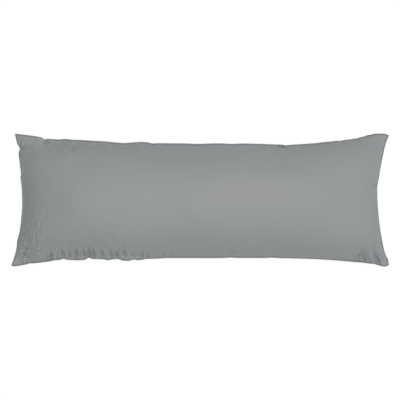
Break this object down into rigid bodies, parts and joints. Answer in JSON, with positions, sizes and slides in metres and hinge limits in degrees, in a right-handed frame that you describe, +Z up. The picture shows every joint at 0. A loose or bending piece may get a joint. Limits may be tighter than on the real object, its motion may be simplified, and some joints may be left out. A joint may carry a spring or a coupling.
{
  "type": "body pillow",
  "caption": "Long plain body pillow: a woven cover sewn edge to edge round a loose filling, with drawn-in sides, gathers along a seam and flat empty corners.",
  "frame": {"origin": "middle of the pillow's outline as seen from above, on the surface it lies on", "axes": "+X along the pillow, to the right in the picture; +Y across it, up in the picture; +Z up out of its crown, towards the camera"},
  "size_m": [1.3522, 0.4774, 0.1936],
  "materials": {
    "cover_cloth": "smooth matt woven microfibre in plain mid grey"
  },
  "bodies": {
    "root": {"pillow": "cover_cloth"}
  },
  "joints": []
}
